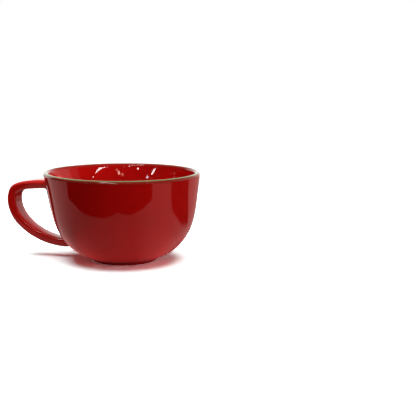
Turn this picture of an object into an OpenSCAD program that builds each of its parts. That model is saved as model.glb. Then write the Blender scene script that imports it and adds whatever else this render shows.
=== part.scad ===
// Wide stoneware mug: a thrown bowl on a low foot ring, with a pulled strap handle
// luted on by two slip joints, and a glaze coat on every face but the foot's.
// Origin on the bowl's axis at the table, +Z up, handle towards -X.

/* [Bowl] */
// Height from the table to the top of the lip
mug_height = 70; // [64:1:78]
// Diameter over the lip, where the bowl is widest
rim_diameter = 120; // [110:1:130]
// Thickness of the rounded lip, glaze included
lip_thickness = 4.2; // [3.6:0.1:5]
// Thickness of the wall where it leaves the base, glaze included
heel_thickness = 5.4; // [4.4:0.1:6.4]
// Steepness of the wall under the lip, in degrees
wall_angle = 83; // [79:1:87]
// How far the steep upper part of the wall reaches down before it rounds in
wall_drop = 32; // [27:0.5:36]
// Steepness of the underside where it leaves the foot, in degrees
underside_angle = 22; // [17:1:27]
// How far the flat underside reaches out before it turns up
underside_reach = 32.5; // [28:0.5:36]
// Thickness of the base inside the foot ring, glaze included
base_thickness = 5; // [4:0.1:6]

/* [Foot] */
// Outer diameter of the foot ring, glaze included
foot_diameter = 51.4; // [46:0.2:56]
// Height of the foot ring's outer side
foot_height = 1.8; // [1.4:0.1:2.4]
// How much wider the foot ring is at its top than at its bottom, on each side
foot_flare = 0.5; // [0.2:0.1:1]
// Width of the foot ring
foot_ring_width = 4.6; // [3.5:0.1:6]
// Radius that breaks the edges of the foot ring
foot_edge_radius = 0.4; // [0.2:0.1:0.5]
// Depth of the turned recess inside the foot ring
recess_depth = 1.6; // [1:0.1:2.2]
// Height at which the glaze was wiped off the foot ring
foot_glaze_line = 0.6; // [0.5:0.1:1.2]

/* [Glaze] */
// Thickness of each glaze coat
glaze_thickness = 0.5; // [0.3:0.05:0.7]
// How far the lip's glaze band comes down the outside
band_outer_drop = 0.6; // [0.4:0.1:1.6]
// How far the lip's glaze band comes down the inside
band_inner_drop = 0.2; // [0.1:0.1:1.2]

/* [Handle] */
// How far the middle of the strap stands out past the lip at the bend
handle_projection = 32.4; // [28:0.2:36]
// Middle of the upper joint below the top of the lip
upper_joint_drop = 12; // [11:0.1:15]
// Middle of the bend, where the strap runs straight down, below the top of the lip
bend_drop = 24.8; // [22:0.2:28]
// Middle of the lower joint above the table
lower_joint_height = 12; // [11:0.1:16]
// Slope at which the strap leaves the upper joint, in degrees
upper_slope = -1; // [-8:1:6]
// Slope at which the strap leaves the lower joint, in degrees
lower_slope = -7; // [-12:1:2]
// How far the strap runs out level from the upper joint
upper_run = 24.4; // [20:0.2:28]
// How high the bend is rounded above its middle
bend_rise = 12; // [9:0.5:15]
// How far the strap keeps running down below the bend
bend_fall = 21; // [17:0.5:25]
// How far the strap runs out level from the lower joint
lower_run = 20; // [16:0.5:24]
// Thickness of the strap at the upper joint
strap_thickness_top = 4.8; // [4.2:0.1:6.5]
// Thickness of the strap at the bend
strap_thickness_bend = 7.1; // [6:0.1:8]
// Thickness of the strap at the lower joint
strap_thickness_low = 6.2; // [5:0.1:7]
// Width of the strap at the upper joint
strap_width_top = 15; // [13:0.5:18]
// Width of the strap at the bend
strap_width_bend = 15; // [13:0.5:18]
// Width of the strap at the lower joint
strap_width_low = 11.5; // [10:0.5:15]
// Radius of the strap's long edges
strap_edge_radius = 1.7; // [1.2:0.1:2]

/* [Joints] */
// Radius of the slip smoothed over the top of the handle's upper end
upper_slip_radius = 2; // [1.5:0.1:3.5]
// Radius of the slip smoothed under the handle's upper end, where it is packed thicker
under_slip_radius = 4.8; // [3:0.1:5.5]
// Radius of the slip smoothed round the handle's lower end
lower_slip_radius = 1.8; // [1.2:0.1:2.6]
// Thickness at which a slip joint's feathered edge ends
slip_edge = 0.15; // [0.1:0.05:0.3]
// How far the upper slip joint reaches out along the strap
upper_slip_reach = 5.5; // [5:0.5:7]
// How far the lower slip joint reaches out along the strap, further on its leaning wall
lower_slip_reach = 8; // [7:0.5:10]

/* [Hidden] */

rim_radius = rim_diameter / 2;
foot_radius = foot_diameter / 2;
lip_radius = lip_thickness / 2;
lip_centre = [rim_radius - lip_radius, mug_height - lip_radius];
floor_height = recess_depth + base_thickness;
wall_steps = 26;
lip_steps = 12;
floor_steps = 10;
edge_steps = 3;
round_facets = 180;

// Share of the wall's curve at which the inside leaves it for the floor
floor_start_share = 0.2;
// Where the floor's curve is steered, as shares of the radius at which it starts
floor_flat_share = 0.5;
floor_turn_share = 0.32;

red_glaze = "#a01818";
green_glaze = "#6e9650";
bare_clay = "#b9a48c";
slip_clay = "#cbb79c";

function unit(angle) = [cos(angle), sin(angle)];
function bezier(a, b, c, d, u) =
    pow(1 - u, 3) * a + 3 * u * pow(1 - u, 2) * b + 3 * pow(u, 2) * (1 - u) * c + pow(u, 3) * d;
function bezier_heading(a, b, c, d, u) =
    let(v = pow(1 - u, 2) * (b - a) + 2 * u * (1 - u) * (c - b) + pow(u, 2) * (d - c)) v / norm(v);
function inward(heading) = [-heading[1], heading[0]];
function reversed(points) = [for (i = [len(points) - 1 : -1 : 0]) points[i]];

// The wall's outer line, from the top of the foot ring to the lip
wall_curve = [
    [foot_radius + foot_flare, foot_height],
    [foot_radius + foot_flare, foot_height] + underside_reach * unit(underside_angle),
    lip_centre + lip_radius * unit(wall_angle - 90) - wall_drop * unit(wall_angle),
    lip_centre + lip_radius * unit(wall_angle - 90)
];
function wall_point(u) = bezier(wall_curve[0], wall_curve[1], wall_curve[2], wall_curve[3], u);
function wall_inward(u) =
    inward(bezier_heading(wall_curve[0], wall_curve[1], wall_curve[2], wall_curve[3], u));
function wall_thickness(u) = heel_thickness + (lip_thickness - heel_thickness) * u;

// Outer face at a depth under the glaze's surface
function outer_line(depth) =
    [for (i = [0 : wall_steps]) let(u = i / wall_steps) wall_point(u) + depth * wall_inward(u)];

// Inner face, from the axis to the lip, at a depth under the glaze's surface
function inner_point(u, depth) = wall_point(u) + (wall_thickness(u) - depth) * wall_inward(u);
function inner_line(depth) =
    let(start = inner_point(floor_start_share, depth),
        heading = -inward(wall_inward(floor_start_share)),
        middle = [0, floor_height - depth])
    concat(
        [for (i = [0 : floor_steps - 1])
            bezier(middle, middle + [floor_flat_share * start[0], 0],
                   start - floor_turn_share * start[0] * heading, start, i / floor_steps)],
        [for (i = [0 : wall_steps])
            let(u = floor_start_share + (1 - floor_start_share) * i / wall_steps) inner_point(u, depth)]
    );

// Lip, a half circle from the outer face over to the inner one
function lip_arc(depth, from, to) =
    [for (i = [0 : lip_steps])
        lip_centre + (lip_radius - depth) * unit(from + (to - from) * i / lip_steps)];
band_outer_angle = asin((lip_radius - band_outer_drop) / lip_radius);
band_inner_angle = 180 - asin((lip_radius - band_inner_drop) / lip_radius);

// Corner of the foot ring, a quarter circle
function foot_corner(centre, from) =
    [for (i = [0 : edge_steps]) centre + foot_edge_radius * unit(from + 90 * i / edge_steps)];
clay_foot_radius = foot_radius - glaze_thickness;

module turned(points) {
    rotate_extrude($fn = round_facets) polygon(points);
}

module bowl() {
    color(bare_clay) turned(concat(
        [[0, recess_depth]],
        [[foot_radius - foot_ring_width, recess_depth]],
        foot_corner([foot_radius - foot_ring_width + foot_edge_radius, foot_edge_radius], 180),
        foot_corner([clay_foot_radius - foot_edge_radius, foot_edge_radius], 270),
        [[clay_foot_radius, foot_glaze_line]],
        outer_line(glaze_thickness),
        lip_arc(glaze_thickness, wall_angle - 90, wall_angle + 90),
        reversed(inner_line(glaze_thickness))
    ));
}

module outer_glaze() {
    color(red_glaze) difference() {
        turned(concat(
            [[foot_radius, foot_glaze_line]],
            outer_line(0),
            lip_arc(0, wall_angle - 90, band_outer_angle),
            lip_arc(glaze_thickness, band_outer_angle, wall_angle - 90),
            reversed(outer_line(glaze_thickness)),
            [[clay_foot_radius, foot_glaze_line]]
        ));
        ring_solid(upper_joint_rings);
        ring_solid(lower_joint_rings);
    }
}

module liner_glaze() {
    color(red_glaze) turned(concat(
        lip_arc(0, band_inner_angle, wall_angle + 90),
        reversed(inner_line(0)),
        inner_line(glaze_thickness),
        lip_arc(glaze_thickness, wall_angle + 90, band_inner_angle)
    ));
}

module rim_glaze() {
    color(green_glaze) turned(concat(
        lip_arc(0, band_outer_angle, band_inner_angle),
        lip_arc(glaze_thickness, band_inner_angle, band_outer_angle)
    ));
}

// Solid inside the wall's outer face, which cuts the handle's ends to the wall
module wall_blank(depth) {
    turned(concat([[0, 0]], [[foot_radius, 0]], outer_line(depth), [[0, mug_height]]));
}

// Radius of the wall's outer face at a height
wall_table = [for (p = outer_line(0)) [p[1], p[0]]];
function wall_radius(height) = lookup(height, wall_table);
// How much the wall leans out there, as radius gained for each unit of height
function wall_lean(height) =
    (wall_radius(height + lip_radius) - wall_radius(height - lip_radius)) / lip_thickness;

// Middle line of the strap in the handle's plane, as distance from the axis and height
upper_joint = [wall_radius(mug_height - upper_joint_drop), mug_height - upper_joint_drop];
bend = [rim_radius + handle_projection, mug_height - bend_drop];
lower_joint = [wall_radius(lower_joint_height), lower_joint_height];
upper_span = [upper_joint, upper_joint + upper_run * unit(upper_slope), bend + [0, bend_rise], bend];
lower_span = [bend, bend - [0, bend_fall], lower_joint + lower_run * unit(lower_slope), lower_joint];
span_rings = 22;
// Above 1, this brings the rings closer together towards the joints
ring_crowding = 2;
// How far the strap's ends run into the wall before they are cut to it
root_depth = 5;
// How steeply the lower end rises into the wall, in degrees, so that it stays above the underside
lower_root_rise = 24;

// A station is [middle, heading, thickness, width]
function span_station(span, u, thickness, width) =
    [bezier(span[0], span[1], span[2], span[3], u),
     bezier_heading(span[0], span[1], span[2], span[3], u), thickness, width];
function blend(a, b, u) = a + (b - a) * u;
function rooted(station, way) =
    [station[0] + root_depth * way, station[1], station[2], station[3]];
upper_stations = [for (i = [0 : span_rings]) let(u = pow(i / span_rings, ring_crowding))
    span_station(upper_span, u, blend(strap_thickness_top, strap_thickness_bend, u),
                 blend(strap_width_top, strap_width_bend, u))];
lower_stations = [for (i = [1 : span_rings]) let(u = 1 - pow(1 - i / span_rings, ring_crowding))
    span_station(lower_span, u, blend(strap_thickness_bend, strap_thickness_low, u),
                 blend(strap_width_bend, strap_width_low, u))];
stations = concat([rooted(upper_stations[0], unit(180))], upper_stations, lower_stations,
                  [rooted(lower_stations[span_rings - 1], unit(180 - lower_root_rise))]);

// Rings of the strap's section, a rectangle with rounded long edges
section_points = 20;
function ring_angle(k) = 360 * (k + 0.5) / section_points;
function section_point(station, k) =
    let(a = ring_angle(k), r = strap_edge_radius)
    [sign(cos(a)) * (station[2] / 2 - r) + r * cos(a), sign(sin(a)) * (station[3] / 2 - r) + r * sin(a)];
function placed(station, p) =
    let(q = station[0] - p[0] * inward(station[1])) [-q[0], p[1], q[1]];
// Thickness of slip over a place on the strap: a round fillet against the wall
function wall_gap(place) =
    (norm([place[0], place[1]]) - wall_radius(place[2])) / norm([1, wall_lean(place[2])]);
function fillet(radius, gap) =
    gap < radius ? radius - sqrt(pow(radius, 2) - pow(radius - max(0, gap), 2)) : 0;
function slip_over(place, under_share) =
    fillet(place[2] > bend[1] ? blend(upper_slip_radius, under_slip_radius, under_share) : lower_slip_radius,
           wall_gap(place));
function strap_ring(station, grow, slip_share, least_slip) =
    [for (k = [0 : section_points - 1])
        let(p = section_point(station, k),
            under_share = (1 + cos(ring_angle(k))) / 2,
            slip = max(least_slip, slip_share * slip_over(placed(station, p), under_share)))
        placed(station, p + (grow + slip) * unit(ring_angle(k)))];

// How many stations each slip joint takes, counted from its root
upper_slip_rings = len([for (s = upper_stations) if (norm(s[0] - upper_joint) <= upper_slip_reach) s]) + 1;
lower_slip_rings = len([for (s = lower_stations) if (norm(s[0] - lower_joint) <= lower_slip_reach) s]) + 1;
last = len(stations) - 1;

core_rings = [for (s = stations) strap_ring(s, -glaze_thickness, 0, 0)];
coat_rings = [for (s = stations) strap_ring(s, 0, 1, 0)];
upper_joint_rings = [for (i = [0 : upper_slip_rings - 1])
    strap_ring(stations[i], -glaze_thickness, 1, slip_edge)];
lower_joint_rings = [for (i = [last - lower_slip_rings + 1 : last])
    strap_ring(stations[i], -glaze_thickness, 1, slip_edge)];

// A skin of triangles over rings of points, each ring joined to the next
function ring_faces(rings, closed) =
    let(n = section_points, m = len(rings))
    [for (i = [0 : closed ? m - 1 : m - 2]) for (k = [0 : n - 1])
        let(a = i * n, b = ((i + 1) % m) * n, next = (k + 1) % n)
        each [[a + k, a + next, b + next], [a + k, b + next, b + k]]];
module ring_solid(rings) {
    ends = (len(rings) - 1) * section_points;
    polyhedron(
        [for (ring = rings) each ring],
        concat(
            ring_faces(rings, false),
            [[for (k = [section_points - 1 : -1 : 0]) k]],
            [[for (k = [0 : section_points - 1]) ends + k]]
        )
    );
}
module ring_sleeve(outer, inner) {
    rings = concat(outer, reversed(inner));
    polyhedron([for (ring = rings) each ring], ring_faces(rings, true));
}

module handle() {
    color(bare_clay) difference() {
        ring_solid(core_rings);
        wall_blank(glaze_thickness);
    }
}

module upper_slip_joint() {
    color(slip_clay) difference() {
        ring_sleeve(upper_joint_rings, [for (i = [0 : upper_slip_rings - 1]) core_rings[i]]);
        wall_blank(glaze_thickness);
    }
}

module lower_slip_joint() {
    color(slip_clay) difference() {
        ring_sleeve(lower_joint_rings, [for (i = [last - lower_slip_rings + 1 : last]) core_rings[i]]);
        wall_blank(glaze_thickness);
    }
}

module handle_glaze() {
    bare = [for (i = [upper_slip_rings - 1 : last - lower_slip_rings + 1]) core_rings[i]];
    color(red_glaze) difference() {
        ring_sleeve(coat_rings, concat(upper_joint_rings, bare, lower_joint_rings));
        wall_blank(0);
    }
}

bowl();
outer_glaze();
liner_glaze();
rim_glaze();
handle();
handle_glaze();
upper_slip_joint();
lower_slip_joint();
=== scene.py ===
# Wide stoneware mug, dressed over its construction model.
# Metres, origin on the bowl's axis at the table, +Z up, handle towards -X.
import math

import bmesh
import bpy
from mathutils import Matrix, Vector, noise


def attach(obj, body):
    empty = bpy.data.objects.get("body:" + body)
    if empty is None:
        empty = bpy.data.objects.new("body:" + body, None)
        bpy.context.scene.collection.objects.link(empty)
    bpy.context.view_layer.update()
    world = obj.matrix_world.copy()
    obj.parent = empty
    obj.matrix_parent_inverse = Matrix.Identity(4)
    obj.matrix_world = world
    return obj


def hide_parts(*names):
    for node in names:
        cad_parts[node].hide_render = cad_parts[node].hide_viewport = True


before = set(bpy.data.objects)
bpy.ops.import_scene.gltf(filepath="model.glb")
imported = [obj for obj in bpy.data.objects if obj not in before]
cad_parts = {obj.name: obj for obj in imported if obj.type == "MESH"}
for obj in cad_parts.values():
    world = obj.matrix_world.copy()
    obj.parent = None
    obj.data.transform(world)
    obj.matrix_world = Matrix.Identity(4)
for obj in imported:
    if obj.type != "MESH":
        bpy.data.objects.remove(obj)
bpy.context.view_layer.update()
mm = 0.001

# Bowl
# The thrown and turned body of pale stoneware clay, in one piece with its foot ring.
# Only the wiped foot and the recess inside it stay bare: fired matt, with the turning
# tool's fine rings and a little grog in the clay.


def material(name):
    made = bpy.data.materials.new(name)
    made.use_nodes = True
    return made, made.node_tree.nodes, made.node_tree.links


def add(nodes, kind, **values):
    """A new node. Names with a capital are its sockets, the others its settings."""
    node = nodes.new(kind)
    for key, value in values.items():
        if key[0].isupper():
            node.inputs[key.replace("_", " ")].default_value = value
        else:
            setattr(node, key, value)
    return node


def ramp(nodes, low, high, low_at, high_at):
    node = add(nodes, "ShaderNodeValToRGB")
    for stop, colour, at in zip(node.color_ramp.elements, (low, high), (low_at, high_at)):
        stop.position = at
        stop.color = colour
    return node


def weighted(nodes, links, part, weight, rest):
    """A share of one value, added to another."""
    total = add(nodes, "ShaderNodeMath", operation="MULTIPLY_ADD")
    total.inputs[1].default_value = weight
    links.new(part, total.inputs[0])
    links.new(rest, total.inputs[2])
    return total.outputs[0]


def clay_material(name, pale, dark):
    made, nodes, links = material(name)
    principled = nodes["Principled BSDF"]
    principled.inputs["Specular IOR Level"].default_value = 0.3
    place = add(nodes, "ShaderNodeTexCoord").outputs["Object"]
    grain = add(nodes, "ShaderNodeTexNoise", Scale=900.0, Detail=4.0, Roughness=0.6)
    cloud = add(nodes, "ShaderNodeTexNoise", Scale=70.0, Detail=2.0)
    rings = add(nodes, "ShaderNodeTexWave", wave_type="RINGS", rings_direction="Z", Scale=190.0,
                Distortion=1.2, Detail=1.0, Detail_Scale=3.0)
    for texture in (grain, cloud, rings):
        links.new(place, texture.inputs["Vector"])
    cloud_part = add(nodes, "ShaderNodeMath", operation="MULTIPLY")
    cloud_part.inputs[1].default_value = 0.55
    links.new(cloud.outputs["Fac"], cloud_part.inputs[0])
    shade = weighted(nodes, links, grain.outputs["Fac"], weight=0.45, rest=cloud_part.outputs[0])
    tint = ramp(nodes, dark, pale, low_at=0.35, high_at=0.62)
    links.new(shade, tint.inputs["Fac"])
    links.new(tint.outputs["Color"], principled.inputs["Base Color"])
    rough = ramp(nodes, (0.72, 0.72, 0.72, 1), (0.9, 0.9, 0.9, 1), low_at=0.4, high_at=0.6)
    links.new(grain.outputs["Fac"], rough.inputs["Fac"])
    links.new(rough.outputs["Color"], principled.inputs["Roughness"])
    relief = weighted(nodes, links, rings.outputs["Fac"], weight=0.6, rest=grain.outputs["Fac"])
    bump = add(nodes, "ShaderNodeBump", Strength=0.5, Distance=0.06 * mm)
    links.new(relief, bump.inputs["Height"])
    links.new(bump.outputs["Normal"], principled.inputs["Normal"])
    return made


bare_clay = clay_material("bare_stoneware", pale=(0.50, 0.40, 0.29, 1), dark=(0.33, 0.24, 0.16, 1))

mug_height = 70 * mm
rim_radius = 60 * mm
lip_radius = 2.1 * mm
heel_thickness = 5.4 * mm
base_thickness = 5 * mm
wall_angle = 83
wall_drop = 32 * mm
underside_angle = 22
underside_reach = 32.5 * mm
foot_radius = 25.7 * mm
foot_height = 1.8 * mm
foot_flare = 0.5 * mm
foot_ring_width = 4.6 * mm
foot_edge_radius = 0.4 * mm
foot_glaze_line = 0.6 * mm
recess_depth = 1.6 * mm
coat_thickness = 0.5 * mm
# Where the inner wall turns into the floor, as a share of the wall's curve, and where the
# floor's own curve is steered, as shares of the radius at which it starts
floor_start_share = 0.2
floor_flat_share = 0.5
floor_turn_share = 0.32


def blend(a, b, u):
    return a + (b - a) * u


def unit(angle):
    return Vector((math.cos(math.radians(angle)), math.sin(math.radians(angle))))


def curve_point(a, b, c, d, u):
    return a * (1 - u) ** 3 + b * 3 * u * (1 - u) ** 2 + c * 3 * u * u * (1 - u) + d * u ** 3


def curve_heading(a, b, c, d, u):
    return ((b - a) * (1 - u) ** 2 + (c - b) * 2 * u * (1 - u) + (d - c) * u * u).normalized()


def inward(heading):
    return Vector((-heading.y, heading.x))


lip_outer_turn = wall_angle - 90
lip_inner_turn = wall_angle + 90
lip_centre = Vector((rim_radius - lip_radius, mug_height - lip_radius))
wall_start = Vector((foot_radius + foot_flare, foot_height))
wall_top = lip_centre + lip_radius * unit(lip_outer_turn)
wall_curve = (
    wall_start,
    wall_start + underside_reach * unit(underside_angle),
    wall_top - wall_drop * unit(wall_angle),
    wall_top,
)


def wall_point(u, depth):
    """A point in the wall, so deep under its outer face."""
    return curve_point(*wall_curve, u) + depth * inward(curve_heading(*wall_curve, u))


def inner_point(u, depth):
    """A point in the wall, so deep under its inner face."""
    return wall_point(u, blend(heel_thickness, 2 * lip_radius, u) - depth)


def outer_line(depth, steps):
    return [wall_point(i / steps, depth) for i in range(steps + 1)]


def inner_line(depth, floor_steps, wall_steps):
    start = inner_point(floor_start_share, depth)
    heading = curve_heading(*wall_curve, floor_start_share)
    middle = Vector((0, recess_depth + base_thickness - depth))
    flat = middle + Vector((floor_flat_share * start.x, 0))
    steer = (middle, flat, start - floor_turn_share * start.x * heading, start)
    floor = [curve_point(*steer, i / floor_steps) for i in range(floor_steps)]
    shares = [blend(floor_start_share, 1, i / wall_steps) for i in range(wall_steps + 1)]
    return floor + [inner_point(u, depth) for u in shares]


def lip_point(turn, depth):
    return lip_centre + (lip_radius - depth) * unit(turn)


def turns(start, end, steps):
    return [start + (end - start) * i / steps for i in range(steps + 1)]


def lip_arc(depth, start, end, steps):
    return [lip_point(turn, depth) for turn in turns(start, end, steps)]


spin_steps = 240
weld_distance = 0.001 * mm


def spun(skin, back):
    """Spins an outline round the axis. Its points keep whether they are skin, and their run."""
    bm = bmesh.new()
    on_skin = bm.verts.layers.float.new("skin_share")
    along = bm.verts.layers.float.new("run_share")
    ring = []
    for line, marked in ((skin, 1), (back, 0)):
        for i, point in enumerate(line):
            vert = bm.verts.new((point.x, 0, point.y))
            run = i / (len(line) - 1)
            vert[on_skin] = marked
            vert[along] = run if marked else 1 - run
            ring.append(vert)
    edges = [bm.edges.new(pair) for pair in zip(ring, ring[1:])]
    # An outline that starts on the axis ends there too, and the others are closed
    if skin[0].x > 0:
        edges.append(bm.edges.new((ring[-1], ring[0])))
    bmesh.ops.spin(bm, geom=ring + edges, cent=(0, 0, 0), axis=(0, 0, 1), angle=math.tau,
                   steps=spin_steps, use_merge=True, use_duplicate=False)
    bmesh.ops.remove_doubles(bm, verts=bm.verts, dist=weld_distance)
    bmesh.ops.recalc_face_normals(bm, faces=bm.faces)
    return bm


# How far out the lip is drawn, from what height up and how steeply, and over how many
# degrees to each side, with the tail of that curve cut off
pull_reach = 3 * mm
pull_start = 30 * mm
pull_power = 1.8
pull_spread = 38
pull_tail = 0.01


def pulled(bm):
    """The drying handle drew the lip above it a little outwards."""
    for vert in bm.verts:
        rise = max(vert.co.z - pull_start, 0.0) / (mug_height - pull_start)
        bearing = math.degrees(math.atan2(vert.co.y, -vert.co.x))
        out = Vector((vert.co.x, vert.co.y, 0)).normalized()
        share = max(math.exp(-(bearing / pull_spread) ** 2) - pull_tail, 0.0)
        vert.co += out * pull_reach * rise ** pull_power * share


def finished(bm, name, surface, node):
    mesh = bpy.data.meshes.new(name)
    bm.to_mesh(mesh)
    bm.free()
    for face in mesh.polygons:
        face.use_smooth = True
    piece = bpy.data.objects.new(name, mesh)
    bpy.context.scene.collection.objects.link(piece)
    mesh.materials.append(surface)
    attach(piece, "root")
    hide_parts(node)
    return piece


corner_steps = 6


def foot_corner(centre, start):
    quarter = turns(start, start + 90, corner_steps)
    return [centre + foot_edge_radius * unit(turn) for turn in quarter]


recess_radius = foot_radius - foot_ring_width
clay_foot_radius = foot_radius - coat_thickness
clay_skin = (
    [Vector((0, recess_depth)), Vector((recess_radius, recess_depth))]
    + foot_corner(Vector((recess_radius + foot_edge_radius, foot_edge_radius)), 180)
    + foot_corner(Vector((clay_foot_radius - foot_edge_radius, foot_edge_radius)), 270)
    + [Vector((clay_foot_radius, foot_glaze_line))]
    + outer_line(coat_thickness, steps=48)
    + lip_arc(coat_thickness, lip_outer_turn, lip_inner_turn, steps=24)
)
bm = spun(clay_skin, inner_line(coat_thickness, floor_steps=12, wall_steps=48)[::-1])
pulled(bm)
finished(bm, "bowl_clay", bare_clay, "bowl")

# Red coat on the outside
# The glaze that the bowl was dipped in, a coat of glossy glass half a millimetre thick.
# It follows the soft dents of the hand-formed wall and stops short of the foot's face.


def smooth(low, high, value):
    """Rises from 0 to 1 between low and high, or falls if they are the other way round."""
    share = min(max((value - low) / (high - low), 0.0), 1.0)
    return share * share * (3 - 2 * share)


def between(stops, at):
    """The height at one place of a line through the stops, held at its ends."""
    at = min(max(at, stops[0][0]), stops[-1][0])
    for (low, a), (high, b) in zip(stops, stops[1:]):
        if at <= high:
            return blend(a, b, (at - low) / (high - low))


wall_stops = [(point.y, point.x) for point in outer_line(0, steps=200)]


def wall_radius(height):
    return between(wall_stops, height)


# Soft flats pressed in by the maker's hands: bearing in degrees, and height, half size and
# depth in mm
thumb_flats = [
    (-92, 38, 15, 0.10), (-62, 30, 13, 0.12), (-100, 20, 14, 0.10), (-35, 42, 15, 0.12),
    (-10, 25, 14, 0.16), (-128, 44, 16, 0.12), (-75, 56, 14, 0.06), (20, 48, 16, 0.12),
    (52, 30, 15, 0.14), (85, 50, 16, 0.12), (118, 32, 15, 0.14), (150, 52, 15, 0.10),
    (-165, 24, 15, 0.12), (-150, 60, 14, 0.08), (-48, 12, 12, 0.10), (70, 14, 12, 0.10),
]
flat_spots = []
for bearing, height, size, deep in thumb_flats:
    spot = unit(bearing) * wall_radius(height * mm)
    flat_spots.append((Vector((spot.x, spot.y, height * mm)), (size * mm) ** 2, deep))

# How steeply a flat fades out, and how many of its squared half sizes away it ends
flat_fade = 1.5
flat_end = 3
# Between the flats the coat lies fuller than its mean and waves a little, in mm
coat_fullness = 0.14
most_fullness = 0.2
broad_wave = 0.12
fine_wave = 0.02
broad_wave_length = 22 * mm
fine_wave_length = 10 * mm
# Between these heights the skin gets truer, by this share, up to the lip
true_start = 54 * mm
true_end = 64 * mm
true_share = 0.7


def hand_dent(place):
    """How far the hand-formed skin lies under its mean. It is truer towards the lip."""
    depth = broad_wave * noise.noise(place / broad_wave_length) - coat_fullness
    depth += fine_wave * noise.noise(place / fine_wave_length)
    for spot, spread, deep in flat_spots:
        far = (place - spot).length_squared / spread
        if far < flat_end:
            depth += deep * math.exp(-flat_fade * far)
    near_lip = smooth(true_start, true_end, place.z)
    return max(depth * (1 - true_share * near_lip), -most_fullness * (1 - near_lip)) * mm


# The swell's middle and spread in degrees, and the heights between which it grows and
# fades
swell_fullness = 0.6 * mm
swell_bearing = 8
swell_spread = 38
swell_foot = 3 * mm
swell_full = 10 * mm
swell_fade = 20 * mm
swell_top = 60 * mm


def heel_swell(place):
    """The wall stands fuller above the heel on its +X side."""
    bearing = math.degrees(math.atan2(place.y, place.x)) - swell_bearing
    rise = smooth(swell_foot, swell_full, place.z) * smooth(swell_top, swell_fade, place.z)
    return swell_fullness * rise * math.exp(-(bearing / swell_spread) ** 2)


def outside_dent(place):
    return hand_dent(place) - heel_swell(place)


def dented(bm, dent):
    """Presses the skin of a spun coat in, by as much as dent says at each place."""
    on_skin = bm.verts.layers.float["skin_share"]
    bm.normal_update()
    moves = [(v, v.normal.copy(), dent(v.co)) for v in bm.verts if v[on_skin] > 0.5]
    for vert, normal, depth in moves:
        vert.co -= normal * depth


def fired_glaze_group():
    """Colour, roughness and relief that every fired glaze on the mug shares."""
    group = bpy.data.node_groups.new("fired_glaze", "ShaderNodeTree")
    for name, kind in (("Deep Color", "NodeSocketColor"), ("Thin Color", "NodeSocketColor"),
                       ("Thin", "NodeSocketFloat"), ("Mottle", "NodeSocketFloat")):
        group.interface.new_socket(name, in_out="INPUT", socket_type=kind)
    for name, kind in (("Color", "NodeSocketColor"), ("Roughness", "NodeSocketFloat"),
                       ("Height", "NodeSocketFloat")):
        group.interface.new_socket(name, in_out="OUTPUT", socket_type=kind)
    nodes, links = group.nodes, group.links
    given = add(nodes, "NodeGroupInput")
    made = add(nodes, "NodeGroupOutput")
    place = add(nodes, "ShaderNodeTexCoord").outputs["Object"]
    pool = add(nodes, "ShaderNodeTexNoise", Scale=38.0, Detail=3.0, Roughness=0.5)
    fleck = add(nodes, "ShaderNodeTexNoise", Scale=1300.0, Detail=2.0, Roughness=0.6)
    pinhole = add(nodes, "ShaderNodeTexVoronoi", Scale=210.0)
    peel = add(nodes, "ShaderNodeTexNoise", Scale=240.0, Detail=2.0, Roughness=0.45)
    for texture in (pool, fleck, pinhole, peel):
        links.new(place, texture.inputs["Vector"])
    # The body colour: thin over edges, mottled where it pooled, with flecks of iron
    thin = add(nodes, "ShaderNodeMix", data_type="RGBA")
    links.new(given.outputs["Thin"], thin.inputs["Factor"])
    links.new(given.outputs["Deep Color"], thin.inputs["A"])
    links.new(given.outputs["Thin Color"], thin.inputs["B"])
    spread = add(nodes, "ShaderNodeMapRange", From_Min=0.3, From_Max=0.7, To_Min=-1.0, To_Max=1.0)
    links.new(pool.outputs["Fac"], spread.inputs["Value"])
    value = add(nodes, "ShaderNodeMath", operation="MULTIPLY_ADD")
    value.inputs[2].default_value = 1.0
    links.new(spread.outputs["Result"], value.inputs[0])
    links.new(given.outputs["Mottle"], value.inputs[1])
    mottled = add(nodes, "ShaderNodeHueSaturation")
    links.new(value.outputs[0], mottled.inputs["Value"])
    links.new(thin.outputs["Result"], mottled.inputs["Color"])
    flecked = add(nodes, "ShaderNodeMapRange", From_Min=0.70, From_Max=0.78, To_Min=0.0, To_Max=0.5)
    links.new(fleck.outputs["Fac"], flecked.inputs["Value"])
    iron = add(nodes, "ShaderNodeMix", data_type="RGBA", B=(0.03, 0.004, 0.003, 1))
    links.new(flecked.outputs["Result"], iron.inputs["Factor"])
    links.new(mottled.outputs["Color"], iron.inputs["A"])
    links.new(iron.outputs["Result"], made.inputs["Color"])
    # Gloss and relief: pinholes in a skin as fine as an orange's
    hole = add(nodes, "ShaderNodeMapRange", From_Min=0.0, From_Max=0.045, To_Min=1.0, To_Max=0.0)
    links.new(pinhole.outputs["Distance"], hole.inputs["Value"])
    gloss = add(nodes, "ShaderNodeMapRange", From_Min=0.3, From_Max=0.7, To_Min=0.006, To_Max=0.02)
    links.new(pool.outputs["Fac"], gloss.inputs["Value"])
    rough = weighted(nodes, links, hole.outputs["Result"], weight=0.25, rest=gloss.outputs["Result"])
    links.new(rough, made.inputs["Roughness"])
    relief = weighted(nodes, links, hole.outputs["Result"], weight=-0.5, rest=peel.outputs["Fac"])
    links.new(relief, made.inputs["Height"])
    return group


fired_glaze = fired_glaze_group()


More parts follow.
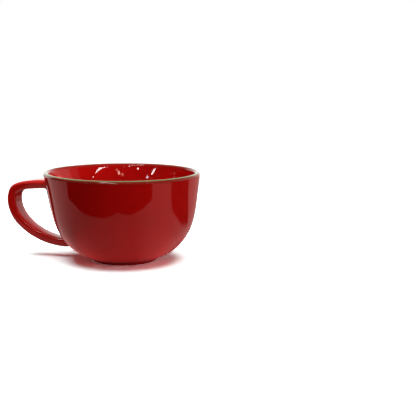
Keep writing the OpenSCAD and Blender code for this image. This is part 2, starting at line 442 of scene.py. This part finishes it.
def glaze_material(name, deep, thin, mottle, relief=0.35):
    """A glaze whose own mask of where it ran thin is linked by the caller."""
    made, nodes, links = material(name)
    principled = nodes["Principled BSDF"]
    principled.inputs["IOR"].default_value = 1.5
    glaze = add(nodes, "ShaderNodeGroup", node_tree=fired_glaze)
    glaze.inputs["Deep Color"].default_value = deep
    glaze.inputs["Thin Color"].default_value = thin
    glaze.inputs["Mottle"].default_value = mottle
    bump = add(nodes, "ShaderNodeBump", Strength=relief, Distance=0.02 * mm)
    links.new(glaze.outputs["Color"], principled.inputs["Base Color"])
    links.new(glaze.outputs["Roughness"], principled.inputs["Roughness"])
    links.new(glaze.outputs["Height"], bump.inputs["Height"])
    links.new(bump.outputs["Normal"], principled.inputs["Normal"])
    return made, nodes, links, glaze


def thin_near(nodes, links, glaze, low, high):
    """The glaze runs thin between two heights, unevenly round the mug."""
    place = add(nodes, "ShaderNodeTexCoord").outputs["Object"]
    split = add(nodes, "ShaderNodeSeparateXYZ")
    ragged = add(nodes, "ShaderNodeTexNoise", Scale=160.0, Detail=2.0)
    links.new(place, split.inputs["Vector"])
    links.new(place, ragged.inputs["Vector"])
    lifted = weighted(nodes, links, ragged.outputs["Fac"], weight=0.9 * mm, rest=split.outputs["Z"])
    mask = add(nodes, "ShaderNodeMapRange", interpolation_type="SMOOTHSTEP",
               From_Min=low, From_Max=high)
    links.new(lifted, mask.inputs["Value"])
    links.new(mask.outputs["Result"], glaze.inputs["Thin"])


# Turns on the lip, in degrees: where the two red coats end, past each other under the
# green band, and between which turns they dive below it
outside_end_turn = 92
inside_end_turn = 88
dive_start_turn = 55
dive_end_turn = 106
dive_depth = 0.12 * mm
lip_skin_depth = 0.002 * mm
lip_steps = 22
# The first point over the lip keeps clear of the wall's last one, by so many degrees
lip_start_gap = 4


def red_over_lip(start, end):
    return [
        lip_point(turn, dive_depth if dive_start_turn < turn < dive_end_turn else lip_skin_depth)
        for turn in turns(start, end, lip_steps)
    ]


outside_red, nodes, links, glaze = glaze_material(
    "red_glaze_outside", deep=(0.50, 0.004, 0.003, 1), thin=(0.30, 0.014, 0.006, 1), mottle=0.05)
thin_near(nodes, links, glaze, low=67.4 * mm, high=69.0 * mm)

wiped_line = foot_glaze_line / 2
# A point on the foot's face, as shares of the foot's flare and height
face_out = 0.6
face_up = 0.7
foot_face = Vector((foot_radius + face_out * foot_flare, face_up * foot_height))
outer_skin = (
    [Vector((foot_radius, wiped_line)), foot_face]
    + outer_line(0, steps=72)
    + red_over_lip(lip_outer_turn + lip_start_gap, outside_end_turn)
)
outer_back = (
    [Vector((clay_foot_radius, wiped_line))]
    + outer_line(coat_thickness, steps=36)
    + lip_arc(coat_thickness, lip_outer_turn, outside_end_turn, steps=14)
)
bm = spun(outer_skin, outer_back[::-1])
dented(bm, outside_dent)
pulled(bm)
outside_coat = finished(bm, "outside_coat", outside_red, "outer_glaze")

# Red coat on the inside
# The liner, of the same glass, poured in and swilled round, so that it lies a little
# thicker low down. It meets the outside coat on the lip, under the green band. Its red is
# painted lighter than the outside's: painted light for the brighter light inside the bowl.

# Between these heights the hand's dents fade, down to this share of them by the lip
liner_fade_start = 35 * mm
liner_fade_end = 55 * mm
liner_dent_share = 0.1


def inside_dent(place):
    fade = smooth(liner_fade_start, liner_fade_end, place.z)
    return hand_dent(place) * blend(1, liner_dent_share, fade)


# Painted light: the outside's red, painted lighter to stand in for the light inside the bowl
inside_red_painted_lighter, nodes, links, glaze = glaze_material(
    "red_glaze_inside_painted_lighter", deep=(0.70, 0.006, 0.004, 1), thin=(0.42, 0.016, 0.007, 1), mottle=0.06,
    relief=0.08)
thin_near(nodes, links, glaze, low=68.2 * mm, high=69.6 * mm)

inner_skin = (
    inner_line(0, floor_steps=22, wall_steps=60)
    + red_over_lip(inside_end_turn, lip_inner_turn - lip_start_gap)[::-1]
)
inner_back = (
    lip_arc(coat_thickness, inside_end_turn, lip_inner_turn, steps=14)
    + inner_line(coat_thickness, floor_steps=12, wall_steps=30)[::-1]
)
bm = spun(inner_skin, inner_back)
dented(bm, inside_dent)
pulled(bm)
inside_coat = finished(bm, "inside_coat", inside_red_painted_lighter, "liner_glaze")

# Green band on the lip
# A second glaze, dipped over the lip alone. It runs a little, so its edges waver, and it
# turns olive where it thins out over the red below it.
band_green, nodes, links, glaze = glaze_material(
    "green_glaze_lip", deep=(0.15, 0.33, 0.09, 1), thin=(0.18, 0.09, 0.02, 1), mottle=0.16)
run = add(nodes, "ShaderNodeAttribute", attribute_name="run_share")
from_edge = add(nodes, "ShaderNodeMath", operation="PINGPONG")
from_edge.inputs[1].default_value = 0.5
thinning = add(nodes, "ShaderNodeMapRange", interpolation_type="SMOOTHSTEP",
               From_Min=0.02, From_Max=0.20, To_Min=1.0, To_Max=0.0)
links.new(run.outputs["Fac"], from_edge.inputs[0])
links.new(from_edge.outputs[0], thinning.inputs["Value"])
links.new(thinning.outputs["Result"], glaze.inputs["Thin"])

band_outer_turn = 45.6
band_inner_turn = 115.2
# How many degrees the two edges waver, how often round the lip, and how far apart in the
# noise they are, so that they waver each in its own way
outer_waver = 6
outer_fine_waver = 3
inner_waver = 7
waver_rate = 6
fine_waver_rate = 3
inner_waver_place = Vector((0, 0, 4))
# The share of the band's width over which it feathers out, and how deep its edge sinks
feather_share = 0.06
feather_depth = 0.13 * mm


def wavered(bm):
    """Lets the band's edges waver round the lip, and feathers its skin out to them."""
    on_skin = bm.verts.layers.float["skin_share"]
    along = bm.verts.layers.float["run_share"]
    for vert in bm.verts:
        bearing = Vector((vert.co.x, vert.co.y)).normalized()
        spot = Vector((bearing.x, bearing.y, 0.0)) * waver_rate
        outer_edge = band_outer_turn + outer_waver * noise.noise(spot)
        outer_edge += outer_fine_waver * noise.noise(spot * fine_waver_rate)
        inner_edge = band_inner_turn + inner_waver * noise.noise(spot + inner_waver_place)
        depth = coat_thickness
        if vert[on_skin] > 0.5:
            feather = min(1.0, min(vert[along], 1 - vert[along]) / feather_share)
            depth = lip_skin_depth + feather_depth * (1 - feather)
        spot = lip_point(blend(outer_edge, inner_edge, vert[along]), depth)
        vert.co = (bearing.x * spot.x, bearing.y * spot.x, spot.y)


band_skin = lip_arc(0, band_outer_turn, band_inner_turn, steps=36)
band_back = lip_arc(coat_thickness, band_inner_turn, band_outer_turn, steps=18)
bm = spun(band_skin, band_back)
wavered(bm)
dented(bm, hand_dent)
pulled(bm)
lip_band = finished(bm, "lip_band", band_green, "rim_glaze")

# Handle
# A strap pulled from a lump of the same clay, bent to an ear and luted to the wall.
# Its clay is wholly under glaze.


def dress(node, surface):
    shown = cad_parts[node]
    shown.data.materials.clear()
    shown.data.materials.append(surface)


dress("handle", bare_clay)

# Slip joints
# Liquid clay that the two ends were stuck on with, smoothed round them with a wet finger.
# A finer, paler clay than the body's, and under glaze as well.
fired_slip = clay_material("fired_slip", pale=(0.60, 0.49, 0.36, 1), dark=(0.46, 0.36, 0.25, 1))
dress("upper_slip_joint", fired_slip)
dress("lower_slip_joint", fired_slip)

# Red coat on the handle
# The same glaze, dipped with the bowl. It swells over the slip at both joints, follows
# the lengthwise ridges left by pulling the strap, and thins a little on its long edges.
# Its red is painted lighter than the bowl's: painted light for the light on the handle.
# Painted light: the bowl's red, painted lighter to stand in for the light falling on the handle
handle_red_painted_lighter, nodes, links, glaze = glaze_material(
    "red_glaze_handle_painted_lighter", deep=(0.92, 0.010, 0.008, 1), thin=(0.74, 0.03, 0.016, 1), mottle=0.05)
on_edge = add(nodes, "ShaderNodeAttribute", attribute_name="edge_share")
broken = add(nodes, "ShaderNodeMapRange", interpolation_type="SMOOTHSTEP",
             From_Min=0.55, From_Max=1.0, To_Min=0.0, To_Max=0.6)
links.new(on_edge.outputs["Fac"], broken.inputs["Value"])
links.new(broken.outputs["Result"], glaze.inputs["Thin"])

handle_projection = 32.4 * mm
upper_joint_drop = 12 * mm
bend_drop = 24.8 * mm
lower_joint_height = 12 * mm
upper_slope = -1
lower_slope = -7
upper_run = 24.4 * mm
bend_rise = 12 * mm
bend_fall = 21 * mm
lower_run = 20 * mm
strap_thickness_top = 4.8 * mm
strap_thickness_bend = 7.1 * mm
strap_thickness_low = 6.2 * mm
strap_width_top = 15 * mm
strap_width_bend = 15 * mm
strap_width_low = 11.5 * mm
strap_edge_radius = 1.7 * mm
upper_slip_radius = 2 * mm
lower_slip_radius = 1.8 * mm
# Glaze ran together in the corner under the upper end, over the slip's own tighter fillet
under_slip_radius = 7 * mm
# The ends run on into the wall, past a ring at this share of the way, the lower one leaning up
root_depth = 4 * mm
root_ring_share = 0.4
lower_root_rise = 24

bend_height = mug_height - bend_drop
upper_joint_height = mug_height - upper_joint_drop
bend = Vector((rim_radius + handle_projection, bend_height))
upper_joint = Vector((wall_radius(upper_joint_height), upper_joint_height))
lower_joint = Vector((wall_radius(lower_joint_height), lower_joint_height))
upper_span = (
    upper_joint,
    upper_joint + upper_run * unit(upper_slope),
    bend + Vector((0, bend_rise)),
    bend,
)
lower_span = (
    bend,
    bend - Vector((0, bend_fall)),
    lower_joint + lower_run * unit(lower_slope),
    lower_joint,
)
span_rings = 64
section_points = 56
# The rings stand closer together towards the joints
ring_power = 1.5


def strap_station(span, u, thickness, width):
    return curve_point(*span, u), curve_heading(*span, u), blend(*thickness, u), blend(*width, u)


def rooted(station, depth, turn):
    return (station[0] + depth * unit(turn),) + station[1:]


shares = [(i / span_rings) ** ring_power for i in range(span_rings + 1)]
upper_size = (strap_thickness_top, strap_thickness_bend), (strap_width_top, strap_width_bend)
lower_size = (strap_thickness_bend, strap_thickness_low), (strap_width_bend, strap_width_low)
stations = [strap_station(upper_span, u, *upper_size) for u in shares]
stations += [strap_station(lower_span, 1 - u, *lower_size) for u in shares[-2::-1]]
upper_end, lower_end = stations[0], stations[-1]
for depth in (root_ring_share * root_depth, root_depth):
    stations.insert(0, rooted(upper_end, depth, 180))
    stations.append(rooted(lower_end, depth, 180 - lower_root_rise))


def slip_over(place, under_share):
    """How far the fillet of slip and glaze lifts the coat where the strap nears the wall."""
    upper_radius = blend(upper_slip_radius, under_slip_radius, under_share)
    radius = upper_radius if place.z > bend_height else lower_slip_radius
    step = 2 * mm
    lean = (wall_radius(place.z + step) - wall_radius(place.z - step)) / (2 * step)
    gap = (math.hypot(place.x, place.y) - wall_radius(place.z)) / math.hypot(1, lean)
    if gap >= radius:
        return 0.0
    return radius - math.sqrt(radius ** 2 - (radius - max(gap, 0.0)) ** 2)


ridge_height = 0.09 * mm
ridges_across = 2.5
ridge_base = 0.02 * mm
strap_dent = 0.08 * mm
fine_dent_length = 9 * mm
broad_dent_length = 20 * mm
# The dipped coat lies fuller than its mean, and thins out to it between these distances
# from the axis, at the outside of the bend
coat_swell = 0.3 * mm
swell_out_start = 90 * mm
swell_out_end = 95.6 * mm
# It gathered on top of the upper end, most of all near the wall: how much, and between
# which distances and heights
gathered_coat = 0.5 * mm
gathered_by_wall = 0.7 * mm
gather_near = 70 * mm
gather_far = 84 * mm
gather_low = 50 * mm
gather_high = 57 * mm


def strap_ring(station):
    """One ring of the coat: each point's place, and how near it is to the strap's edge."""
    middle, heading, thickness, width = station
    across = inward(heading)

    def placed(point):
        spot = middle - point.x * across
        return Vector((-spot.x, point.y, spot.y))

    for k in range(section_points):
        angle = math.tau * (k + 0.5) / section_points
        way = Vector((math.cos(angle), math.sin(angle)))
        corner = Vector((math.copysign(thickness / 2 - strap_edge_radius, way.x),
                         math.copysign(width / 2 - strap_edge_radius, way.y)))
        out = corner + strap_edge_radius * way
        # Lengthwise ridges from pulling, on the broad faces
        ridge = ridge_height * math.cos(out.y / width * math.tau * ridges_across) * abs(way.x)
        out.x -= math.copysign(ridge + ridge_base, way.x) * abs(way.x)
        out += slip_over(placed(out), (1 + way.x) / 2) * way
        place = placed(out)
        waves = noise.noise(place / fine_dent_length) + noise.noise(place / broad_dent_length)
        dent = strap_dent * waves
        fuller = coat_swell * smooth(swell_out_end, swell_out_start, -place.x)
        if way.x < 0:
            gathered = gathered_coat + gathered_by_wall * smooth(gather_far, gather_near, -place.x)
            fuller += gathered * smooth(gather_low, gather_high, place.z)
        yield placed(out + (fuller - dent) * way), 1 - abs(abs(way.x) - abs(way.y))


def moved_to(ring, station, edge_layer):
    for vert, (place, edge) in zip(ring, strap_ring(station)):
        vert.co = place
        vert[edge_layer] = edge


bm = bmesh.new()
edge_layer = bm.verts.layers.float.new("edge_share")
bmesh.ops.create_circle(bm, cap_ends=True, segments=section_points, radius=1 * mm)
ring = sorted(bm.verts, key=lambda v: math.atan2(v.co.y, v.co.x) % math.tau)
moved_to(ring, stations[0], edge_layer)
for station in stations[1:]:
    edges = [bm.edges.get(pair) for pair in zip(ring, ring[1:] + ring[:1])]
    grown = bmesh.ops.extrude_edge_only(bm, edges=edges)["geom"]
    fresh = {v for v in grown if isinstance(v, bmesh.types.BMVert)}
    ring = [next(e.other_vert(v) for e in v.link_edges if e.other_vert(v) in fresh) for v in ring]
    moved_to(ring, station, edge_layer)
bmesh.ops.contextual_create(bm, geom=ring)
bmesh.ops.recalc_face_normals(bm, faces=bm.faces)
handle_coat = finished(bm, "handle_coat", handle_red_painted_lighter, "handle_glaze")

# Table
# Plain white paper on a table. The camera sees the paper alone; the glaze's reflections
# see a glowing card in its place, a painted reflection of the paper, which ends in the
# dark of the room and has the mug's shadow and its red bounce painted in.


def flat_sheet(name, side, height, surface, cuts=1):
    bm = bmesh.new()
    bmesh.ops.create_grid(bm, x_segments=cuts, y_segments=cuts, size=side / 2)
    bmesh.ops.translate(bm, verts=bm.verts, vec=(0, 0, height))
    mesh = bpy.data.meshes.new(name)
    bm.to_mesh(mesh)
    bm.free()
    sheet = bpy.data.objects.new(name, mesh)
    bpy.context.scene.collection.objects.link(sheet)
    mesh.materials.append(surface)
    return sheet


def paper_material():
    """Overexposed to the camera. To the mug it returns more light on the right."""
    made, nodes, links = material("white_paper")
    nodes.remove(nodes["Principled BSDF"])
    matt = add(nodes, "ShaderNodeBsdfDiffuse")
    ray = add(nodes, "ShaderNodeLightPath")
    place = add(nodes, "ShaderNodeTexCoord").outputs["Object"]
    split = add(nodes, "ShaderNodeSeparateXYZ")
    # Painted light: to the mug the paper's colour is lighter on the right, standing in for more light
    # falling there
    returned = add(nodes, "ShaderNodeMapRange",
                   From_Min=-0.10, From_Max=0.30, To_Min=0.30, To_Max=0.80)
    links.new(place, split.inputs["Vector"])
    links.new(split.outputs["X"], returned.inputs["Value"])
    # Painted light: to the camera the paper is brighter and a little less red near the mug, fading
    # further out
    distance = add(nodes, "ShaderNodeVectorMath", operation="LENGTH")
    fading = add(nodes, "ShaderNodeMapRange", From_Min=0.15, From_Max=0.45)
    exposed = add(nodes, "ShaderNodeMix", data_type="RGBA",
                  A=(2.5, 2.95, 2.95, 1), B=(1.3, 1.3, 1.3, 1))
    links.new(place, distance.inputs[0])
    links.new(distance.outputs["Value"], fading.inputs["Value"])
    links.new(fading.outputs["Result"], exposed.inputs["Factor"])
    sheen = add(nodes, "ShaderNodeMix", data_type="RGBA")
    links.new(ray.outputs["Is Camera Ray"], sheen.inputs["Factor"])
    links.new(returned.outputs["Result"], sheen.inputs["A"])
    links.new(exposed.outputs["Result"], sheen.inputs["B"])
    links.new(sheen.outputs["Result"], matt.inputs["Color"])
    fibre = add(nodes, "ShaderNodeTexNoise", Scale=160.0, Detail=3.0)
    tooth = add(nodes, "ShaderNodeBump", Strength=0.15, Distance=0.05 * mm)
    links.new(place, fibre.inputs["Vector"])
    links.new(fibre.outputs["Fac"], tooth.inputs["Height"])
    links.new(tooth.outputs["Normal"], matt.inputs["Normal"])
    links.new(matt.outputs["BSDF"], nodes["Material Output"].inputs["Surface"])
    return made


table_paper = flat_sheet("table_paper", side=5, height=0, surface=paper_material())
table_paper.visible_glossy = False

# Light that the paper returns to the glaze: bearing from +X in degrees, and brightness
glow_bearings = [
    (-180, 0.46), (-165, 0.40), (-140, 0.27), (-110, 0.22), (-60, 0.22), (-40, 0.38), (-4, 0.40),
    (33, 0.40), (60, 0.34), (96, 0.25), (102, 0.02), (137, 0.02), (142, 0.70), (160, 0.50),
    (180, 0.46),
]
# The paper's front edge, past which the room is dark: x and y in mm
front_edge = [
    (-700, -310), (-195, -95), (-150, -118), (-15, -128), (25, -150), (62, -130), (165, -120),
    (700, -370),
]
# How far inside and outside its line that edge fades
edge_inside = 2 * mm
edge_outside = 4 * mm
paper_strength = 2
dark_room = 0.002
# The mug's own shade on the paper: where it ends in front and behind, how softly, and the
# bearings between which one passes into the other
shade_front = 20 * mm
shade_behind = 40 * mm
shade_fade = 42 * mm
behind_start = 0
behind_full = 30
# A dark gap on the right, a painted reflection of a dark object beside the mug: the bearing
# at which it starts, near the mug and away from it, the distances between which that turns,
# and half of how softly it starts
gap_near = 14
gap_far = -5
gap_turn_start = 90 * mm
gap_turn_end = 170 * mm
gap_softness = 2
# The bearings at which the gap starts to end and has ended, the distances at which it opens
# and is full, and how dark it is then
gap_end_start = 31
gap_end = 35
gap_open = 85 * mm
gap_full = 120 * mm
gap_share = 0.95
# The red light that the mug casts on the paper, painted into the card as reflected bounce:
# in front and elsewhere, and how far out it fades
blush_front = 1.2
blush_elsewhere = 0.4
blush_fade_start = 50 * mm
blush_fade_front = 140 * mm
blush_fade_elsewhere = 85 * mm
# It grows between these distances, outside the foot's own shade
blush_start = 22 * mm
blush_full = 38 * mm
# The bearings between which the front starts on the left, and ends on the right
front_start = -150
front_full = -125
front_end_start = -20
front_end = 10
# The tint of the light that the glaze mirrors, and of the blush
mirrored_tint = (1, 0.5, 0.47)
blush_tint = (1, 0.02, 0.02)


def paper_glow(x, y):
    """The light that the paper sends to the glaze from one place, as a colour."""
    away = math.hypot(x, y)
    bearing = math.degrees(math.atan2(y, x))
    shade = blend(shade_front, shade_behind, smooth(behind_start, behind_full, bearing))
    bright = between(glow_bearings, bearing) * smooth(shade, shade + shade_fade, away)
    gap = blend(gap_near, gap_far, smooth(gap_turn_start, gap_turn_end, away))
    beside = smooth(gap - gap_softness, gap + gap_softness, bearing)
    beside *= smooth(gap_end, gap_end_start, bearing)
    bright *= 1 - gap_share * beside * smooth(gap_open, gap_full, away)
    edge = between(front_edge, x / mm) * mm
    past_edge = smooth(edge + edge_inside, edge - edge_outside, y)
    bright = paper_strength * blend(bright, dark_room, past_edge)
    front = smooth(front_end, front_end_start, bearing) * smooth(front_start, front_full, bearing)
    cast_elsewhere = blush_elsewhere * smooth(blush_fade_elsewhere, blush_fade_start, away)
    cast_front = blush_front * smooth(blush_fade_front, blush_fade_start, away)
    blush = blend(cast_elsewhere, cast_front, front)
    blush *= smooth(blush_start, blush_full, away)
    return [bright * a + blush * b for a, b in zip(mirrored_tint, blush_tint)] + [1]


# Painted reflection: a card that glows with the paper's light, seen only by the glaze's reflections
glow, nodes, links = material("paper_glow")
nodes.remove(nodes["Principled BSDF"])
lit = add(nodes, "ShaderNodeEmission")
amount = add(nodes, "ShaderNodeAttribute", attribute_name="glow")
links.new(amount.outputs["Color"], lit.inputs["Color"])
links.new(lit.outputs["Emission"], nodes["Material Output"].inputs["Surface"])
glow_card = flat_sheet("glow_card", side=1.2, height=0.3 * mm, surface=glow, cuts=300)
amounts = glow_card.data.attributes.new("glow", "FLOAT_COLOR", "POINT")
for vert, spot in zip(glow_card.data.vertices, amounts.data):
    spot.color = paper_glow(vert.co.x, vert.co.y)
glow_card.visible_camera = False
glow_card.visible_diffuse = False
glow_card.visible_shadow = False
glow_card.visible_transmission = False

# Lights
# Two soft lights, one overhead and one from the right, which the glaze doesn't mirror.
# Small lamps in the dark room in front draw the glints in the glaze and light nothing else.


def toward(bearing, lift):
    """Direction seen from the mug: bearing 0 is -Y and 90 is +X, lift is above the table."""
    a = math.radians(bearing)
    e = math.radians(lift)
    return Vector((math.sin(a) * math.cos(e), -math.cos(a) * math.cos(e), math.sin(e)))


def soft_light(name, bearing, lift, spread, strength):
    lamp = bpy.data.lights.new(name, "SUN")
    lamp.angle = math.radians(spread)
    lamp.energy = strength * math.pi
    shown = bpy.data.objects.new(name, lamp)
    shown.rotation_euler = (-toward(bearing, lift)).to_track_quat("-Z", "Y").to_euler()
    shown.location = toward(bearing, lift)
    shown.visible_glossy = False
    bpy.context.scene.collection.objects.link(shown)


soft_light("light_overhead", bearing=60, lift=87.5, spread=62, strength=0.84)
soft_light("light_right", bearing=78, lift=9, spread=24, strength=0.21)

lamp_distance = 2.2
lamp_aim = Vector((0, 0.05, 0.062))


def room_lamp(name, bearing, lift, wide, tall, tilt, bright, tint=(1, 1, 1)):
    """A lamp placed, sized and tilted in degrees, as seen from inside the bowl."""
    lamp = bpy.data.lights.new(name, "AREA")
    lamp.shape = "ELLIPSE"
    lamp.size = 2 * lamp_distance * math.tan(math.radians(wide / 2))
    lamp.size_y = 2 * lamp_distance * math.tan(math.radians(tall / 2))
    lamp.energy = bright * math.pi * lamp.size * lamp.size_y * math.pi / 4
    lamp.color = tint
    shown = bpy.data.objects.new(name, lamp)
    facing = (-toward(bearing, lift)).to_track_quat("-Z", "Y").to_matrix().to_4x4()
    shown.matrix_world = (Matrix.Translation(lamp_aim + toward(bearing, lift) * lamp_distance) @ facing
                          @ Matrix.Rotation(math.radians(tilt), 4, "Z"))
    shown.visible_camera = False
    shown.visible_diffuse = False
    bpy.context.scene.collection.objects.link(shown)


cool_tint = (0.85, 0.85, 1)
warm_tint = (1, 0.5, 0.35)
warm_main_tint = (1, 0.6, 0.5)
# Bearing, lift, width, height, tilt and brightness
room_lamp("lamp_right", 50.5, 10.0, 21, 0.6, -3, 20)
room_lamp("lamp_right_small", 66.5, 8.9, 2.0, 0.3, 0, 20)
room_lamp("lamp_left", -34.8, 6.6, 8.5, 0.45, -3.5, 20)
room_lamp("lamp_left_small", -23.4, 6.4, 4.5, 0.25, 0, 15, cool_tint)
room_lamp("lamp_middle", -7.5, 8.1, 3.0, 0.5, 0, 20)
room_lamp("lamp_high", 2, 22, 3, 28, 24, 20)
room_lamp("lamp_high_left", -20, 50, 8, 30, 0, 12)
room_lamp("lamp_warm_top", 15.8, 9.1, 4.0, 0.3, 0, 9, warm_tint)
room_lamp("lamp_warm_side", 27, 8.6, 3.0, 0.3, 0, 9, warm_tint)
room_lamp("lamp_warm_main", 24, 8.2, 4.0, 0.3, 0, 14, warm_main_tint)
room_lamp("lamp_warm_low", 18.5, 7.95, 3.5, 0.2, 0, 9, warm_tint)

# The room as the glaze mirrors it: bearing from +X in degrees, brightness, and share of
# white in its red
room_bearings = [
    (-180, 0.02, 1), (0, 0.02, 1), (3, 0.30, 0.1), (17, 0.30, 0.1), (21, 0.80, 0.1), (55, 0.70, 0.1),
    (75, 0.70, 0.6), (100, 0.85, 1), (135, 0.85, 1), (155, 0.85, 0.8), (163, 0.02, 1),
    (180, 0.02, 1),
]


def room_air():
    """White to the camera, a dim room to reflections, and next to dark to all else."""
    world = bpy.data.worlds.new("white_air")
    world.use_nodes = True
    nodes, links = world.node_tree.nodes, world.node_tree.links
    ray = add(nodes, "ShaderNodeLightPath")
    way = add(nodes, "ShaderNodeTexCoord")
    split = add(nodes, "ShaderNodeSeparateXYZ")
    turn = add(nodes, "ShaderNodeMath", operation="ARCTAN2")
    share = add(nodes, "ShaderNodeMapRange", From_Min=-math.pi, From_Max=math.pi)
    room = add(nodes, "ShaderNodeValToRGB")
    links.new(way.outputs["Generated"], split.inputs["Vector"])
    links.new(split.outputs["Y"], turn.inputs[0])
    links.new(split.outputs["X"], turn.inputs[1])
    links.new(turn.outputs[0], share.inputs["Value"])
    links.new(share.outputs["Result"], room.inputs["Fac"])
    stops = room.color_ramp.elements
    stops.remove(stops[1])
    for at, bright, white in room_bearings:
        stop = stops[0] if at == -180 else stops.new((at + 180) / 360)
        stop.color = [bright * blend(tint, 1, white) for tint in mirrored_tint] + [1]
    stronger = add(nodes, "ShaderNodeVectorMath", operation="SCALE", Scale=1.6)
    ceiling = add(nodes, "ShaderNodeMapRange", interpolation_type="SMOOTHSTEP",
                  From_Min=0.30, From_Max=0.55)
    mirrored = add(nodes, "ShaderNodeMix", data_type="RGBA", B=(0.35, 0.25, 0.24, 1))
    links.new(room.outputs["Color"], stronger.inputs["Vector"])
    links.new(split.outputs["Z"], ceiling.inputs["Value"])
    links.new(ceiling.outputs["Result"], mirrored.inputs["Factor"])
    links.new(stronger.outputs["Vector"], mirrored.inputs["A"])
    indoors = add(nodes, "ShaderNodeMix", data_type="RGBA", A=(0.04, 0.04, 0.04, 1))
    links.new(ray.outputs["Is Glossy Ray"], indoors.inputs["Factor"])
    links.new(mirrored.outputs["Result"], indoors.inputs["B"])
    seen = add(nodes, "ShaderNodeMix", data_type="RGBA", B=(1, 1, 1, 1))
    links.new(ray.outputs["Is Camera Ray"], seen.inputs["Factor"])
    links.new(indoors.outputs["Result"], seen.inputs["A"])
    links.new(seen.outputs["Result"], nodes["Background"].inputs["Color"])
    return world


bpy.context.scene.world = room_air()

# Camera
# It stands seven degrees above the lip, seen from the lip's middle, with the handle
# turned away by about eighteen degrees, and looks past the mug to the right.
camera_distance = 0.6634
camera_height = 0.1508
camera_bearing = 17.5
camera_heading = 11.75
camera_pitch = 9.421
camera_roll = 0.313

camera = bpy.data.cameras.new("camera")
camera.sensor_width = 36
camera.lens = 73.26
viewer = bpy.data.objects.new("camera", camera)
bpy.context.scene.collection.objects.link(viewer)
stand = camera_distance * toward(camera_bearing, 0) + Vector((0, 0, camera_height))
viewer.matrix_world = (
    Matrix.Translation(stand)
    @ Matrix.Rotation(math.radians(camera_heading), 4, "Z")
    @ Matrix.Rotation(math.radians(90 - camera_pitch), 4, "X")
    @ Matrix.Rotation(math.radians(camera_roll), 4, "Z")
)
bpy.context.scene.camera = viewer
bpy.context.scene.view_settings.view_transform = "Standard"
